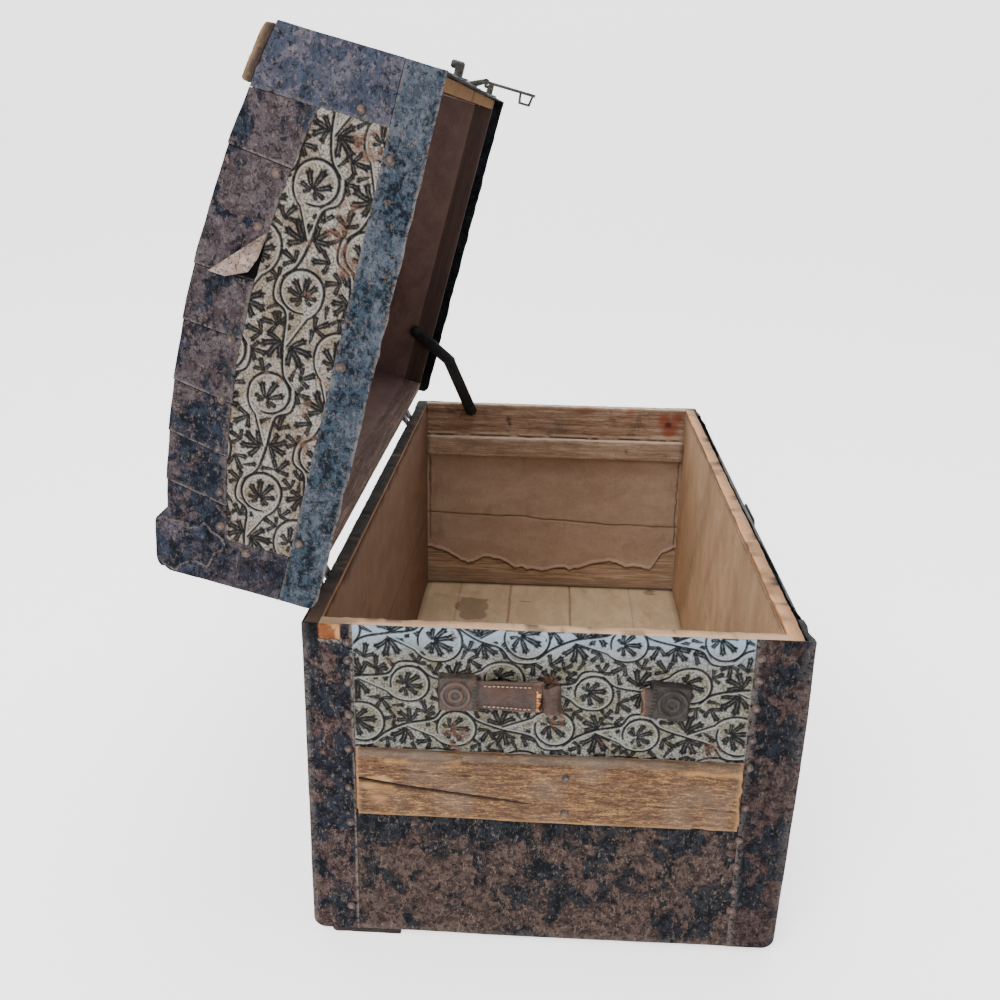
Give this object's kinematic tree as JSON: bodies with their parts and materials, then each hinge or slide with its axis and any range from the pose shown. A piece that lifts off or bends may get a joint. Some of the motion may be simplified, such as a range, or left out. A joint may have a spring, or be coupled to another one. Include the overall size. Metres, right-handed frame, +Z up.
{
  "type": "dome top trunk",
  "caption": "Clad wooden chest with a low domed lid on hinges, a folding lid stay, a hasp with a lock, side hasps and leather end handles.",
  "frame": {"origin": "underside of the bottom slats, under the middle of the chest", "axes": "+X along the length to the end with the lid stay, -Y the front with the lock, +Y the hinge side, +Z up"},
  "size_m": [0.9007, 0.5981, 0.8328],
  "materials": {
    "box_wood": "raw",
    "slat_wood": "worn",
    "runner_wood": "worn",
    "embossed_tin": "worn",
    "sheet_iron": "rusted",
    "hardware_iron": "rusted",
    "nail_iron": "rusted",
    "black_steel": "semi-gloss",
    "leather": "worn",
    "lining_paper": "matte"
  },
  "bodies": {
    "chest": {"back_wall": "box_wood", "bottom_runners": "runner_wood", "chest_lining": "lining_paper", "chest_nails": "nail_iron", "corner_band_back_left": "sheet_iron", "corner_band_back_right": "sheet_iron", "corner_band_front_left": "sheet_iron", "corner_band_front_right": "sheet_iron", "end_slat_left": "slat_wood", "end_slat_right": "slat_wood", "end_tins": "embossed_tin", "floor_boards": "box_wood", "front_wall": "box_wood", "handle_caps": "hardware_iron", "hinge_chest_leaves": "hardware_iron", "hinge_pins": "hardware_iron", "leather_handles": "leather", "left_wall": "box_wood", "lock_case": "hardware_iron", "lock_plate": "hardware_iron", "long_slats": "slat_wood", "long_tins": "embossed_tin", "lower_sheets": "sheet_iron", "right_wall": "box_wood", "side_hasp_brackets": "hardware_iron", "side_hasp_pins": "hardware_iron", "slat_clamps": "sheet_iron", "stay_chest_stud": "black_steel", "tray_cleats": "box_wood"},
    "lid": {"catch_studs": "hardware_iron", "hasp_leaf": "hardware_iron", "hasp_pin": "hardware_iron", "hinge_lid_leaves": "hardware_iron", "lid_arc_bands": "sheet_iron", "lid_back_board": "box_wood", "lid_back_rim_band": "sheet_iron", "lid_corner_bands": "sheet_iron", "lid_dome_tin": "embossed_tin", "lid_end_rim_bands": "sheet_iron", "lid_end_tins": "embossed_tin", "lid_front_board": "box_wood", "lid_front_valance": "sheet_iron", "lid_left_end": "box_wood", "lid_lining": "lining_paper", "lid_nails": "nail_iron", "lid_right_end": "box_wood", "lid_side_tins": "embossed_tin", "lid_slat_clamps": "sheet_iron", "lid_slats": "slat_wood", "lid_staves": "box_wood", "stay_lid_stud": "black_steel"},
    "stay_lower": {"stay_lower_arm": "black_steel", "stay_knee_rivet": "black_steel"},
    "stay_upper": {"stay_upper_arm": "black_steel"},
    "hasp": {"hasp_bar": "hardware_iron"},
    "lock_bolt": {"lock_bolt": "hardware_iron"},
    "side_hasp_left": {"side_hasp_left": "hardware_iron"},
    "side_hasp_right": {"side_hasp_right": "hardware_iron"}
  },
  "joints": [
    {"name": "lid_hinge", "type": "hinge", "parent": "chest", "child": "lid", "pos_m": [0, 0.2351, 0.345], "axis": [1, 0, 0], "range_deg": [0, 75.3]},
    {"name": "stay_lower_pivot", "type": "hinge", "parent": "chest", "child": "stay_lower", "pos_m": [0.4075, 0.1369, 0.3274], "axis": [1, 0, 0], "range_deg": [0, 88.9]},
    {"name": "stay_upper_pivot", "type": "hinge", "parent": "lid", "child": "stay_upper", "pos_m": [0.4125, 0.2263, 0.4521], "axis": [1, 0, 0], "range_deg": [-116.4, 0]},
    {"name": "hasp_swing", "type": "hinge", "parent": "lid", "child": "hasp", "pos_m": [0, 0.09243, 0.80805], "axis": [-1, 0, 0], "range_deg": [0, 135]},
    {"name": "lock_bolt_slide", "type": "slide", "parent": "chest", "child": "lock_bolt", "axis": [1, 0, 0], "range_m": [0, 0.008]},
    {"name": "side_hasp_left_swing", "type": "hinge", "parent": "chest", "child": "side_hasp_left", "pos_m": [-0.235, -0.244, 0.292], "axis": [-1, 0, 0], "range_deg": [0, 180]},
    {"name": "side_hasp_right_swing", "type": "hinge", "parent": "chest", "child": "side_hasp_right", "pos_m": [0.235, -0.244, 0.292], "axis": [-1, 0, 0], "range_deg": [0, 180]}
  ],
  "couplings": [
    {"joint": "stay_lower_pivot", "follows": "lid_hinge", "ratio": 1.1784},
    {"joint": "stay_upper_pivot", "follows": "lid_hinge", "ratio": -1.543}
  ]
}
